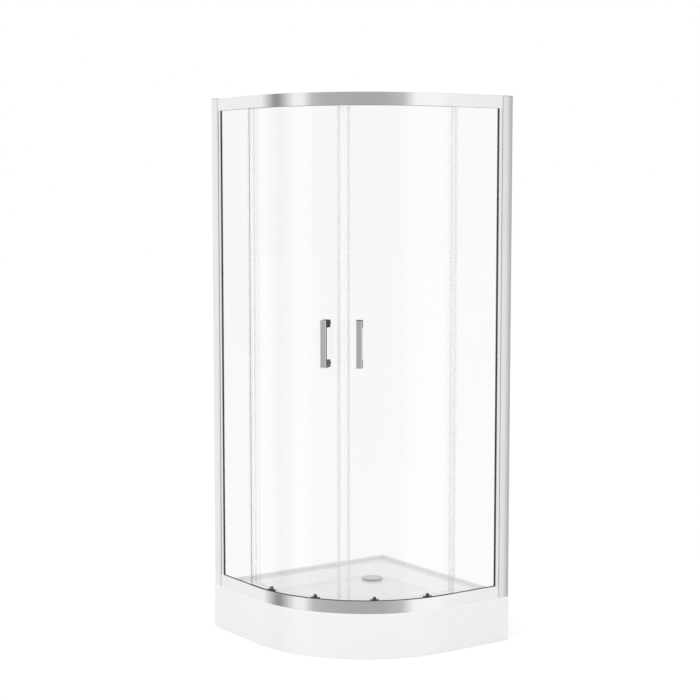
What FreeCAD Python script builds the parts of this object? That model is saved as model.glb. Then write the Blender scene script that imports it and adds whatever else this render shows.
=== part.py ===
import FreeCAD, Part
import math
import os

# Quadrant shower enclosure: a low tray with a rounded front corner, two flat fixed
# panes against the walls and two curved doors that slide apart from the middle.
# Frame: origin on the floor at the centre of the square footprint, +Z up. The left
# wall lies at -X, the back wall at +Y, and the rounded corner points to +X and -Y.
# An "offset" is a distance inwards from the tray's outer line. An "angle" is counted
# about the centre of the rounded corner, from the diagonal towards the back wall.
# Everything beside the back wall is modelled, and its twin beside the left wall is
# its mirror image across the diagonal.

# --- footprint and heights (mm) ---
SIDE = 800.0
CORNER_R = 500.0
TRAY_H = 165.0
ENCLOSURE_H = 1850.0

# --- tray ---
SHELL = 5.0
TRAY_EDGE_R = 3.0
TILE_LIP_H = 12.0
TILE_LIP_T = 7.0
TILE_LIP_R = 2.5
TILE_LIP_END = 32.0
WALL_RIM = 50.0
FRONT_RIM = 58.0
BASIN_DEPTH = 30.0
WALL_SLOPE = 60.0
FRONT_SLOPE = 14.0
BASIN_CORNER_R = 120.0
SKIRT_CUT_H = 110.0
SKIRT_RETURN = 30.0

# --- tray frame and feet ---
TUBE = 25.0
TUBE_WALL = 2.0
TUBE_INSET = 57.0
CROSS_TUBE_AT = 80.0
STUD_R = 6.0
STUD_HOLE_CLEAR = 0.3
PAD_R = 20.0
PAD_H = 8.0
PAD_BOSS_R = 10.0
PAD_BOSS_H = 8.0
STUD_IN_PAD = 4.0
NUT_ACROSS = 19.0
NUT_H = 10.0
FOOT_END_INSET = 70.0
FRONT_FOOT_AT = 210.0

# --- waste ---
WASTE_FROM_WALL = 186.0
WASTE_HOLE_R = 32.0
WASTE_FLANGE_R = 40.0
WASTE_FLANGE_T = 2.5
WASTE_SLEEVE_R = 27.0
WASTE_WALL = 2.5
WASTE_GASKET_T = 3.0
WASTE_GASKET_ROOM = 1.0
WASTE_CUP_R = 38.0
WASTE_CUP_BOTTOM = 38.0
SPIGOT_R = 25.0
SPIGOT_L = 70.0
SPIGOT_Z = 72.0
SPIGOT_COLLAR_R = 28.0
SPIGOT_COLLAR_OUT = 2.0
TRAP_TUBE_R = 18.0
TRAP_CLEAR = 0.5
TRAP_BOTTOM_GAP = 14.0
COVER_R = 41.0
COVER_RISE = 4.0
COVER_T = 2.0
COVER_GAP = 2.5
COVER_STEM_R = 9.0
COVER_RIB_T = 3.0
COVER_RIB_COUNT = 3
SEAT_GAP = 0.3

# --- rails ---
FACE_INSET = 3.0
RAIL_H = 46.0
RAIL_T = 2.0
RAIL_EDGE_R = 1.2
TOP_RAIL_DEPTH = 35.0
TOP_LIP_H = 5.0
LEDGE_BELOW_TOP = 30.0
LEDGE_OFFSET = 19.5
SLOT_FLOOR_H = 6.0
SLOT_WALL = 1.5
CHANNEL_W = 33.0
UPSTAND_H = 5.5
SLOT_FILLER_DROP = 0.5
SLOT_FILLER_H = 8.0
SLOT_LIP = 1.5
TOP_SLOT_LIP = 0.6
RAIL_END_SEAL_T = 1.5

# --- glass ---
GLASS_T = 5.0
FIXED_GLASS_GAP = 2.0
SLOT_CLEAR = 0.5
FIXED_GLASS_SHORT = 41.0
FIXED_TOP_GAP = 2.0
DOOR_GAP = 13.5
DOOR_PAST_CORNER = 45.3
DOOR_BOTTOM_GAP = 25.0
DOOR_TOP_GAP = 7.0

# --- wall and side profiles ---
WALL_PROFILE_W = 45.0
WALL_PROFILE_D = 22.0
WALL_PROFILE_T = 2.0
WALL_PROFILE_EDGE_R = 0.8
PROFILE_CROWN = 2.0
CAP_T = 2.0
CAP_PLUG_H = 10.0
CAP_PLUG_CLEAR = 0.4
SIDE_PROFILE_START = 20.0
SIDE_PROFILE_END = 60.0
SIDE_PROFILE_T = 1.5
GASKET_W = 4.0
GASKET_GRIP = 12.0
GLASS_START_GAP = 2.0
WALL_HOLE_R = 3.0
WALL_HOLE_COUNT = 4
WALL_HOLE_END = 100.0

# --- seals ---
SEAL_T = 1.2
SEAL_CLIP = 10.0
SEAL_GRIP_CLEAR = 0.15
SEAL_FIN_T = 1.0
SEAL_END_GAP = 2.0
FIXED_FIN_OFFSET = 18.6
TRAIL_FIN_OFFSET = 15.0
MEET_GAP = 0.5
MAGNET_NOSE = 12.5
MAGNET_W = 7.0

# --- handle ---
HANDLE_ANGLE = 7.0
HANDLE_W = 22.0
HANDLE_T = 13.0
HANDLE_L = 168.0
HANDLE_MID_H = 1135.0
HANDLE_REACH = 57.0
HANDLE_POST_H = 26.0
HANDLE_EDGE_R = 3.5
HANDLE_BOLT_R = 3.0
HANDLE_SLEEVE_R = 6.0
HANDLE_CAP_R = 10.0
HANDLE_CAP_T = 4.0
WASHER_T = 1.0
BOLT_IN_POST = 15.0

# --- upper rollers ---
ROLLER_LEAD_ANGLE = 13.5
ROLLER_TRAIL_ANGLE = 38.5
UPPER_WHEEL_R = 10.7
WHEEL_TRACK_GAP = 0.3
UPPER_WHEEL_W = 6.0
UPPER_WHEEL_OFFSET = 13.5
AXLE_R = 3.0
RUNNING_CLEAR = 0.05
AXLE_HEAD_R = 4.5
AXLE_HEAD_T = 1.2
AXLE_SHOULDER_R = 5.0
WHEEL_SIDE_CLEAR = 0.3
BUSH_R = 7.0
BUSH_FLANGE_R = 9.0
BUSH_FLANGE_T = 1.0
ROLLER_CAP_R = 9.0
ROLLER_CAP_T = 4.5

# --- lower rollers and their release ---
HOUSING_W = 32.0
HOUSING_D = 14.0
HOUSING_H = 22.0
HOUSING_TOP_DROP = 1.0
HOUSING_ROOF = 2.0
HOUSING_EDGE_R = 1.5
LOWER_WHEEL_R = 8.0
LOWER_WHEEL_W = 5.0
LOWER_WHEEL_LIFT_OFF_BASE = 1.0
FORK_CHEEK = 2.0
FORK_W = 12.0
FORK_SIDE_CLEAR = 0.4
FORK_ABOVE_WHEEL = 8.0
PIN_R = 1.5
STEM_R = 2.5
STEM_CLEAR = 0.3
POCKET_CLEAR = 0.4
RELEASE_TRAVEL = 6.0
KNOB_R = 6.0
KNOB_H = 9.0
KNOB_GAP = 0.3
KNOB_EDGE_R = 1.2
SPRING_R = 4.2
SPRING_T = 1.0
SPRING_END_GAP = 0.2
HOUSING_SCREW_R = 2.0
HOUSING_SCREW_AT = 12.0
HOUSING_SCREW_HEAD_R = 4.0
HOUSING_SCREW_HEAD_T = 2.0
HOUSING_SCREW_BITE = 8.0

# --- door travel ---
PIVOT_SHIFT = 130.0
PIVOT_TURN_ANGLE = 2.5

# --- rail end blocks, screws and stops ---
BLOCK_IN_RAIL = 30.0
BLOCK_CLEAR = 0.2
BLOCK_WALL_GAP = 4.0
SCREW_R = 2.0
SCREW_HEAD_R = 4.0
SCREW_HEAD_T = 2.2
STOP_PAST_BLOCK = 64.0
STOP_L = 12.0
STOP_H = 12.0
STOP_GAP = 1.0

# --- values that follow from them ---
HALF = SIDE / 2
CENTRE_X = HALF - CORNER_R
CENTRE_Y = CORNER_R - HALF
FIXED_GLASS_END = SIDE - CORNER_R - FIXED_GLASS_SHORT
TOP_Z = TRAY_H + ENCLOSURE_H
RAIL_TOP_OF_BOTTOM = TRAY_H + RAIL_H
RAIL_BOTTOM_OF_TOP = TOP_Z - RAIL_H
FASCIA_IN = FACE_INSET + RAIL_T
FIXED_OUT = FASCIA_IN + FIXED_GLASS_GAP
FIXED_IN = FIXED_OUT + GLASS_T
SLOT_IN = FIXED_IN + SLOT_CLEAR
CHANNEL_OUT = SLOT_IN + SLOT_WALL
CHANNEL_IN = CHANNEL_OUT + CHANNEL_W
DOOR_OUT = FIXED_IN + DOOR_GAP
DOOR_IN = DOOR_OUT + GLASS_T
DOOR_OUT_R = CORNER_R - DOOR_OUT
DOOR_IN_R = CORNER_R - DOOR_IN
DOOR_MID_R = (DOOR_OUT_R + DOOR_IN_R) / 2
DOOR_TRAIL_ANGLE = 45 + math.degrees(DOOR_PAST_CORNER / DOOR_MID_R)
DOOR_LOW_Z = TRAY_H + DOOR_BOTTOM_GAP
DOOR_TOP_Z = TOP_Z - DOOR_TOP_GAP
LEDGE_Z = TOP_Z - LEDGE_BELOW_TOP
UPPER_AXLE_Z = LEDGE_Z + WHEEL_TRACK_GAP + UPPER_WHEEL_R
CLEAR_LOW_Z = RAIL_TOP_OF_BOTTOM + SEAL_END_GAP
CLEAR_TOP_Z = RAIL_BOTTOM_OF_TOP - SEAL_END_GAP
PROFILE_IN = FACE_INSET + WALL_PROFILE_D
RAIL_START = WALL_PROFILE_W + RAIL_END_SEAL_T
HANDLE_FACE_R = DOOR_OUT_R + HANDLE_REACH
HANDLE_BACK_R = HANDLE_FACE_R - HANDLE_T
HANDLE_LOW_Z = HANDLE_MID_H - HANDLE_L / 2
HANDLE_TOP_Z = HANDLE_MID_H + HANDLE_L / 2
BOLT_Z = (HANDLE_LOW_Z + HANDLE_POST_H / 2, HANDLE_TOP_Z - HANDLE_POST_H / 2)
HOUSING_TOP_Z = RAIL_TOP_OF_BOTTOM - HOUSING_TOP_DROP
HOUSING_LOW_Z = HOUSING_TOP_Z - HOUSING_H
LOWER_AXLE_Z = TRAY_H + RAIL_T + LOWER_WHEEL_LIFT_OFF_BASE + LOWER_WHEEL_R
STEM_RADIUS_AT = DOOR_IN_R - HOUSING_D / 2
FORK_TOP_Z = LOWER_AXLE_Z + LOWER_WHEEL_R + FORK_ABOVE_WHEEL
FORK_D = LOWER_WHEEL_W + 2 * (FORK_SIDE_CLEAR + FORK_CHEEK)
BASIN_Z = TRAY_H - BASIN_DEPTH
UNDER_Z = BASIN_Z - SHELL
WASTE_X = -HALF + WASTE_FROM_WALL
WASTE_Y = HALF - WASTE_FROM_WALL

OVER = 1.0  # how far a cutting tool reaches past the surface it opens
UP = FreeCAD.Vector(0, 0, 1)
ORIGIN = FreeCAD.Vector(0, 0, 0)
DIAGONAL = -45.0
MIRROR_NORMAL = FreeCAD.Vector(1, 1, 0)


def vec(x, y, z=0.0):
    return FreeCAD.Vector(x, y, z)


def polar(radius, angle, z=0.0):
    """Point at a radius and angle about the centre of the rounded corner."""
    turn = math.radians(DIAGONAL + angle)
    return vec(CENTRE_X + radius * math.cos(turn), CENTRE_Y + radius * math.sin(turn), z)


def prism(edges, z_low, z_high):
    """Solid of a closed outline, standing from one height to another."""
    face = Part.Face(Part.Wire(edges))
    face.translate(vec(0, 0, z_low))
    return face.extrude(vec(0, 0, z_high - z_low))


def box(x_low, x_high, y_low, y_high, z_low, z_high):
    return Part.makeBox(x_high - x_low, y_high - y_low, z_high - z_low, vec(x_low, y_low, z_low))


def line(start, end):
    return Part.LineSegment(start, end).toShape()


def arc(start, middle, end):
    return Part.Arc(start, middle, end).toShape()


def fuse(shapes):
    """One solid from pieces that touch or cross, with its faces joined up."""
    whole = shapes[0]
    for shape in shapes[1:]:
        whole = whole.fuse(shape)
    return whole.removeSplitter()


def cut(shape, tools):
    for tool in tools:
        shape = shape.cut(tool)
    return shape


def mirrored(shape):
    """Twin of a piece, across the diagonal plane of the enclosure."""
    return shape.mirror(ORIGIN, MIRROR_NORMAL)


def with_twins(shapes):
    return shapes + [mirrored(shape) for shape in shapes]


def rounded(shape, radius, wanted):
    """The shape with the edges that the test picks rounded over."""
    edges = [edge for edge in shape.Edges if wanted(edge)]
    return shape.makeFillet(radius, edges)


def save(name, shapes):
    """Write one sub-part, a list of separate solids, to its own file."""
    solids = []
    for shape in shapes:
        solids.extend(shape.Solids)
    whole = solids[0] if len(solids) == 1 else Part.makeCompound(solids)
    whole.exportStep("parts/" + name + ".step")
    print(name, len(solids), round(sum(solid.Volume for solid in solids)))


# --- bands that follow the enclosure's line ---

def band(offset_out, offset_in, z_low, z_high, wall_gap):
    """Band between two offsets: straight, round the corner, and straight."""
    def point(offset, at_back):
        if at_back:
            return vec(HALF - offset, HALF - wall_gap)
        return vec(-HALF + wall_gap, -HALF + offset)
    tangent_out = (vec(CENTRE_X, -HALF + offset_out), vec(HALF - offset_out, CENTRE_Y))
    tangent_in = (vec(CENTRE_X, -HALF + offset_in), vec(HALF - offset_in, CENTRE_Y))
    edges = [
        line(point(offset_out, False), tangent_out[0]),
        arc(tangent_out[0], polar(CORNER_R - offset_out, 0), tangent_out[1]),
        line(tangent_out[1], point(offset_out, True)),
        line(point(offset_out, True), point(offset_in, True)),
        line(point(offset_in, True), tangent_in[1]),
        arc(tangent_in[1], polar(CORNER_R - offset_in, 0), tangent_in[0]),
        line(tangent_in[0], point(offset_in, False)),
        line(point(offset_in, False), point(offset_out, False)),
    ]
    return prism(edges, z_low, z_high)


def straight(offset_out, offset_in, along_from, along_to, z_low, z_high):
    """Block beside the back wall's straight: 'along' is the distance from the wall."""
    return box(HALF - offset_in, HALF - offset_out, HALF - along_to, HALF - along_from,
               z_low, z_high)


def sector(r_in, r_out, angle_from, angle_to, z_low, z_high):
    """Part of a ring about the centre of the rounded corner."""
    middle = (angle_from + angle_to) / 2
    edges = [
        arc(polar(r_out, angle_from), polar(r_out, middle), polar(r_out, angle_to)),
        line(polar(r_out, angle_to), polar(r_in, angle_to)),
        arc(polar(r_in, angle_to), polar(r_in, middle), polar(r_in, angle_from)),
        line(polar(r_in, angle_from), polar(r_out, angle_from)),
    ]
    return prism(edges, z_low, z_high)


def swept_angle(length, radius):
    return math.degrees(length / radius)


def at_angle(shape, angle):
    """Carry a piece from the corner's own frame, X outwards, to its angle."""
    placed = shape.copy()
    placed.rotate(ORIGIN, UP, DIAGONAL + angle)
    placed.translate(vec(CENTRE_X, CENTRE_Y))
    return placed


def inside_pane(shape):
    """The piece cut to the curved inner face of the door glass."""
    z_low = shape.BoundBox.ZMin - OVER
    height = shape.BoundBox.ZLength + 2 * OVER
    return shape.common(Part.makeCylinder(DOOR_IN_R, height, vec(CENTRE_X, CENTRE_Y, z_low)))


def radial_rod(radius, r_from, r_to, z, angle, sideways=0.0):
    """Round bar that points outwards, between two radii."""
    rod = Part.makeCylinder(radius, r_to - r_from, vec(r_from, sideways, z), vec(1, 0, 0))
    return at_angle(rod, angle)


def local_box(r_from, r_to, width, z_low, z_high):
    return box(r_from, r_to, -width / 2, width / 2, z_low, z_high)


# --- tray ---

def tray_outline(wall_inset, front_inset, corner_r=0.0):
    """Closed outline: two wall sides, the round front, and the corner in the room."""
    left = -HALF + wall_inset
    back = HALF - wall_inset
    front = -HALF + front_inset
    right = HALF - front_inset
    edges = [
        line(vec(left, front), vec(CENTRE_X, front)),
        arc(vec(CENTRE_X, front), polar(CORNER_R - front_inset, 0), vec(right, CENTRE_Y)),
        line(vec(right, CENTRE_Y), vec(right, back)),
    ]
    if corner_r == 0:
        edges.append(line(vec(right, back), vec(left, back)))
        edges.append(line(vec(left, back), vec(left, front)))
        return edges
    corner = vec(left + corner_r, back - corner_r)
    slant = corner_r * math.sqrt(0.5)
    bend = (vec(left + corner_r, back), vec(left, back - corner_r))
    edges.append(line(vec(right, back), bend[0]))
    edges.append(arc(bend[0], vec(corner.x - slant, corner.y + slant), bend[1]))
    edges.append(line(bend[1], vec(left, front)))
    return edges


def outline_wire(edges, z):
    wire = Part.Wire(edges)
    wire.translate(vec(0, 0, z))
    return wire


def basin():
    """The space of the sunk basin, with its sloping sides."""
    rim = outline_wire(tray_outline(WALL_RIM, FRONT_RIM, BASIN_CORNER_R), TRAY_H)
    floor_edges = tray_outline(WALL_RIM + WALL_SLOPE, FRONT_RIM + FRONT_SLOPE, BASIN_CORNER_R)
    floor = outline_wire(floor_edges, BASIN_Z)
    return Part.makeLoft([floor, rim], True, True)


def on_front_edge(edge):
    """The outer top edge of the tray, round the front."""
    middle = edge.valueAt((edge.FirstParameter + edge.LastParameter) / 2)
    level = abs(middle.z - TRAY_H) < 0.01 and abs(edge.BoundBox.ZLength) < 0.01
    outside = middle.x > HALF - 1 or middle.y < -HALF + 1
    reach = math.hypot(middle.x - CENTRE_X, middle.y - CENTRE_Y)
    round_part = middle.x > CENTRE_X and middle.y < CENTRE_Y and reach > CORNER_R - 1
    return level and (outside or round_part)


def tile_lips():
    """Upstands bonded to the tray's rim along both walls, for the tiles to come down over."""
    top = TRAY_H + TILE_LIP_H
    face = HALF - TILE_LIP_T
    lip = box(-HALF, HALF - TILE_LIP_END, face, HALF, TRAY_H, top)
    lip = rounded(lip, TILE_LIP_R, lambda e: abs(e.BoundBox.ZMin - top) < 0.01
                  and abs(e.BoundBox.YMax - face) < 0.01)
    return [lip, mirrored(lip).cut(lip)]


def tray_shell():
    """Moulded tray: skirt to the floor in front, open towards the two walls."""
    body = prism(tray_outline(0, 0), 0, TRAY_H)
    body = rounded(body, TRAY_EDGE_R, on_front_edge)
    hollow = prism(tray_outline(SHELL, SHELL), -OVER, UNDER_Z)
    rim_hollow = prism(tray_outline(SHELL, SHELL), UNDER_Z - OVER, TRAY_H - SHELL)
    keep = prism(tray_outline(WALL_RIM - SHELL, FRONT_RIM - SHELL, BASIN_CORNER_R),
                 UNDER_Z - OVER, TRAY_H)
    left_gate = box(-HALF - OVER, -HALF + SHELL + OVER, -HALF + SKIRT_RETURN, HALF - SKIRT_RETURN,
                    -OVER, SKIRT_CUT_H)
    drain = Part.makeCylinder(WASTE_HOLE_R, TRAY_H, vec(WASTE_X, WASTE_Y, 0))
    return cut(body, [hollow, rim_hollow.cut(keep), basin(), left_gate, mirrored(left_gate), drain])


def tube(x_low, x_high, y_low, y_high):
    """Square tube under the tray, along the longer of its two directions."""
    low = UNDER_Z - TUBE
    outer = box(x_low, x_high, y_low, y_high, low, UNDER_Z)
    if x_high - x_low > y_high - y_low:
        bore = box(x_low - OVER, x_high + OVER, y_low + TUBE_WALL, y_high - TUBE_WALL,
                   low + TUBE_WALL, UNDER_Z - TUBE_WALL)
    else:
        bore = box(x_low + TUBE_WALL, x_high - TUBE_WALL, y_low - OVER, y_high + OVER,
                   low + TUBE_WALL, UNDER_Z - TUBE_WALL)
    return outer.cut(bore)


def foot_places():
    """Feet under both wall tubes, under the cross tubes, and where these meet."""
    wall_tube = HALF - TUBE_INSET - TUBE / 2
    end = HALF - FOOT_END_INSET
    corner_foot = vec(-wall_tube + TUBE, wall_tube)
    front_foot = vec(FRONT_FOOT_AT, -CROSS_TUBE_AT)
    return [corner_foot, vec(end, wall_tube), vec(-wall_tube, -end),
            front_foot, mirrored_point(front_foot)]


def mirrored_point(point):
    return vec(-point.y, -point.x, point.z)


def tray_support_frame():
    """Welded frame of square tube: two tubes along the walls and two that cross."""
    outer = HALF - TUBE_INSET
    inner = outer - TUBE
    end = HALF - FOOT_END_INSET + TUBE
    cross_low = -CROSS_TUBE_AT - TUBE / 2
    cross_high = -CROSS_TUBE_AT + TUBE / 2
    reach = FRONT_FOOT_AT + PAD_R + TUBE
    wall_tube = tube(-outer, end, inner, outer)
    cross_tube = tube(-inner, reach, cross_low, cross_high)
    side_tube = tube(-outer, -inner, -end, inner)
    side_cross = tube(-cross_high, -cross_low, -reach, cross_low).fuse(
        tube(-cross_high, -cross_low, cross_high, inner))
    frame = fuse([wall_tube, side_tube, cross_tube, side_cross])
    holes = [Part.makeCylinder(STUD_R + STUD_HOLE_CLEAR, TUBE, vec(p.x, p.y, UNDER_Z - TUBE - TUBE_WALL))
             for p in foot_places()]
    return cut(frame, holes)


def foot_studs():
    top = UNDER_Z - 2 * TUBE_WALL
    low = PAD_H + PAD_BOSS_H - STUD_IN_PAD
    return [Part.makeCylinder(STUD_R, top - low, vec(p.x, p.y, low)) for p in foot_places()]


def foot_nuts():
    nuts = []
    for place in foot_places():
        corners = []
        for step in range(7):
            turn = math.radians(60 * step)
            reach = NUT_ACROSS / math.sqrt(3)
            corners.append(vec(place.x + reach * math.cos(turn), place.y + reach * math.sin(turn)))
        edges = [line(corners[i], corners[i + 1]) for i in range(6)]
        nut = prism(edges, UNDER_Z - TUBE - NUT_H, UNDER_Z - TUBE)
        nuts.append(nut.cut(Part.makeCylinder(STUD_R, TRAY_H, vec(place.x, place.y, 0))))
    return nuts


def foot_pads():
    pads = []
    for place in foot_places():
        disc = Part.makeCylinder(PAD_R, PAD_H, place)
        boss = Part.makeCylinder(PAD_BOSS_R, PAD_BOSS_H, vec(place.x, place.y, PAD_H))
        low = PAD_H + PAD_BOSS_H - STUD_IN_PAD
        socket = Part.makeCylinder(STUD_R, STUD_IN_PAD, vec(place.x, place.y, low))
        pads.append(fuse([disc, boss]).cut(socket))
    return pads


# --- waste ---

def waste_ring(r_in, r_out, z_low, z_high):
    outer = Part.makeCylinder(r_out, z_high - z_low, vec(WASTE_X, WASTE_Y, z_low))
    return outer.cut(Part.makeCylinder(r_in, z_high - z_low, vec(WASTE_X, WASTE_Y, z_low)))


def waste_disc(radius, z_low, z_high):
    return Part.makeCylinder(radius, z_high - z_low, vec(WASTE_X, WASTE_Y, z_low))


def level_rod(radius, length):
    """Round bar from the waste's middle, level, towards the left wall."""
    return Part.makeCylinder(radius, length, vec(WASTE_X, WASTE_Y, SPIGOT_Z), vec(-1, 0, 0))


def waste_flange():
    """Chromed top ring with the sleeve that screws into the cup below."""
    sleeve_low = UNDER_Z - WASTE_GASKET_T - 2 * WASTE_WALL
    ring = waste_ring(WASTE_SLEEVE_R - WASTE_WALL, WASTE_FLANGE_R, BASIN_Z, BASIN_Z + WASTE_FLANGE_T)
    sleeve = waste_ring(WASTE_SLEEVE_R - WASTE_WALL, WASTE_SLEEVE_R, sleeve_low, BASIN_Z)
    return fuse([ring, sleeve])


def waste_body():
    """Cup under the tray floor, with a level outlet towards the left wall."""
    top = UNDER_Z - WASTE_GASKET_T
    cup = waste_disc(WASTE_CUP_R, WASTE_CUP_BOTTOM, top)
    collar_l = WASTE_CUP_R + SPIGOT_COLLAR_OUT
    collar = level_rod(SPIGOT_COLLAR_R, collar_l)
    spigot = level_rod(SPIGOT_R, collar_l + SPIGOT_L)
    inside = waste_disc(WASTE_CUP_R - WASTE_WALL, WASTE_CUP_BOTTOM + WASTE_WALL, top - 2 * WASTE_WALL)
    mouth = waste_disc(WASTE_SLEEVE_R, top - 3 * WASTE_WALL, top + OVER)
    bore = level_rod(SPIGOT_R - WASTE_WALL, collar_l + SPIGOT_L + OVER)
    return cut(fuse([cup, collar, spigot]), [inside, mouth, bore])


def insert_rim():
    """Outer radius and top height of the insert's rim, which carries the cover."""
    return (WASTE_SLEEVE_R + WASTE_FLANGE_R) / 2, BASIN_Z + WASTE_FLANGE_T + WASTE_WALL / 2


def waste_trap_insert():
    """Dip tube that hangs in the flange by its rim and makes the water seal."""
    seat = BASIN_Z + WASTE_FLANGE_T
    low = WASTE_CUP_BOTTOM + WASTE_WALL + TRAP_BOTTOM_GAP
    rim_r, rim_top = insert_rim()
    rim = waste_ring(TRAP_TUBE_R - WASTE_WALL, rim_r, seat, rim_top)
    dip = waste_ring(TRAP_TUBE_R - WASTE_WALL, TRAP_TUBE_R, low, seat)
    return fuse([rim, dip])


def waste_cover():
    """Shallow domed cover on a round stem and ribs, lifted off for cleaning."""
    edge_z = BASIN_Z + WASTE_FLANGE_T + COVER_GAP
    dome_r = (COVER_R ** 2 + COVER_RISE ** 2) / (2 * COVER_RISE)
    centre = vec(WASTE_X, WASTE_Y, edge_z + COVER_T + COVER_RISE - dome_r)
    rim = waste_disc(COVER_R, edge_z, edge_z + COVER_T + COVER_RISE)
    dome = rim.common(Part.makeSphere(dome_r, centre))
    under_centre = vec(WASTE_X, WASTE_Y, edge_z + COVER_RISE - dome_r)
    dome = dome.cut(Part.makeSphere(dome_r, under_centre))
    stem_top = edge_z + COVER_RISE + COVER_T / 2
    stem_low = BASIN_Z - SHELL
    stem = waste_disc(COVER_STEM_R, stem_low, stem_top)
    tip_r = TRAP_TUBE_R - WASTE_WALL - TRAP_CLEAR
    guide = waste_disc(tip_r, stem_low, stem_low + COVER_T)
    rib_r, rim_top = insert_rim()
    ribs = []
    for i in range(COVER_RIB_COUNT):
        rib = box(0, rib_r, -COVER_RIB_T / 2, COVER_RIB_T / 2, rim_top + SEAT_GAP, stem_top)
        rib.rotate(ORIGIN, UP, 360 * i / COVER_RIB_COUNT)
        rib.translate(vec(WASTE_X, WASTE_Y))
        ribs.append(rib.common(Part.makeSphere(dome_r, centre)))
    return fuse([dome, stem, guide] + ribs)


# --- rails ---

def outer_corner_edge(edge, z):
    """Long edges of a rail's face at one height."""
    middle = edge.valueAt((edge.FirstParameter + edge.LastParameter) / 2)
    if abs(middle.z - z) > 0.01 or edge.BoundBox.ZLength > 0.01:
        return False
    if middle.x > CENTRE_X and middle.y < CENTRE_Y:
        offset = CORNER_R - math.hypot(middle.x - CENTRE_X, middle.y - CENTRE_Y)
    else:
        offset = min(HALF - middle.x, HALF + middle.y)
    return abs(offset - FACE_INSET) < 0.01 and edge.Length > RAIL_H


def top_rail():
    """Top rail: face, roof, roller ledge, slot for the fixed panes and inner lip."""
    gap = RAIL_START
    inner = FACE_INSET + TOP_RAIL_DEPTH
    rail = fuse([
        band(FACE_INSET, FASCIA_IN, RAIL_BOTTOM_OF_TOP, TOP_Z, gap),
        band(FASCIA_IN, inner, TOP_Z - RAIL_T, TOP_Z, gap),
        band(FASCIA_IN, LEDGE_OFFSET, LEDGE_Z - RAIL_T, LEDGE_Z, gap),
        band(SLOT_IN, CHANNEL_OUT, RAIL_BOTTOM_OF_TOP, LEDGE_Z - RAIL_T, gap),
        band(inner - RAIL_T, inner, TOP_Z - TOP_LIP_H, TOP_Z - RAIL_T, gap),
    ])
    rail = rounded(rail, RAIL_EDGE_R, lambda edge: outer_corner_edge(edge, TOP_Z))
    return cut(rail, rail_screw_holes(RAIL_BOTTOM_OF_TOP))


def bottom_rail():
    """Bottom rail: face, slot for the fixed panes, and the channel of the lower wheels."""
    gap = RAIL_START
    base_top = TRAY_H + RAIL_T
    slot_floor = TRAY_H + SLOT_FLOOR_H
    rail = fuse([
        band(FACE_INSET, FASCIA_IN, TRAY_H, RAIL_TOP_OF_BOTTOM, gap),
        band(FASCIA_IN, CHANNEL_IN + SLOT_WALL, TRAY_H, base_top, gap),
        band(FASCIA_IN, SLOT_IN, slot_floor - RAIL_T, slot_floor, gap),
        band(SLOT_IN, CHANNEL_OUT, base_top, RAIL_TOP_OF_BOTTOM, gap),
        band(CHANNEL_IN, CHANNEL_IN + SLOT_WALL, base_top, base_top + UPSTAND_H, gap),
    ])
    rail = rounded(rail, RAIL_EDGE_R, lambda edge: outer_corner_edge(edge, RAIL_TOP_OF_BOTTOM))
    return cut(rail, rail_screw_holes(TRAY_H))


def block_heights(rail_low):
    """Height range of a rail's end block, in its top or its bottom rail."""
    if rail_low == TRAY_H:
        return TRAY_H + RAIL_T + BLOCK_CLEAR, RAIL_TOP_OF_BOTTOM - SLOT_FILLER_H
    return LEDGE_Z + BLOCK_CLEAR, TOP_Z - RAIL_T - BLOCK_CLEAR


def block_offsets(rail_low):
    inner = PROFILE_IN - WALL_PROFILE_T - BLOCK_CLEAR
    if rail_low == TRAY_H:
        return CHANNEL_OUT + BLOCK_CLEAR, inner
    return FASCIA_IN + BLOCK_CLEAR, inner


def rail_screw_at(rail_low):
    """Height and the two distances from the wall of an end block's screws."""
    low, high = block_heights(rail_low)
    return (low + high) / 2, (WALL_PROFILE_W / 2, WALL_PROFILE_W + BLOCK_IN_RAIL / 2)


def screw_rod(radius, offset_out, offset_in, along, z):
    return Part.makeCylinder(radius, offset_in - offset_out, vec(HALF - offset_in, HALF - along, z),
                             vec(1, 0, 0))


def rail_screw_holes(rail_low):
    """Holes through the wall of the rail that its end block is screwed to."""
    z, (_, along) = rail_screw_at(rail_low)
    if rail_low == TRAY_H:
        hole = screw_rod(SCREW_R, SLOT_IN, CHANNEL_OUT, along, z)
    else:
        hole = screw_rod(SCREW_R, FACE_INSET + RAIL_T / 2, FASCIA_IN, along, z)
    return with_twins([hole])


def rail_end_blocks():
    blocks = []
    for rail_low in (TRAY_H, RAIL_BOTTOM_OF_TOP):
        low, high = block_heights(rail_low)
        outer, inner = block_offsets(rail_low)
        z, places = rail_screw_at(rail_low)
        block = straight(outer, inner, BLOCK_WALL_GAP, WALL_PROFILE_W + BLOCK_IN_RAIL, low, high)
        holes = [screw_rod(SCREW_R, outer, inner, along, z) for along in places]
        blocks.append(cut(block, holes))
    return with_twins(blocks)


def rail_screws():
    """Two pan-head screws in each end block: one to the wall profile, one to the rail."""
    screws = []
    for rail_low in (TRAY_H, RAIL_BOTTOM_OF_TOP):
        outer, inner = block_offsets(rail_low)
        z, places = rail_screw_at(rail_low)
        seats = (PROFILE_IN, inner)
        tips = (outer, SLOT_IN if rail_low == TRAY_H else FACE_INSET + RAIL_T / 2)
        for along, seat, tip in zip(places, seats, tips):
            shank = screw_rod(SCREW_R, tip, seat, along, z)
            head = screw_rod(SCREW_HEAD_R, seat, seat + SCREW_HEAD_T, along, z)
            screws.append(fuse([shank, head]))
    return with_twins(screws)


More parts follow.
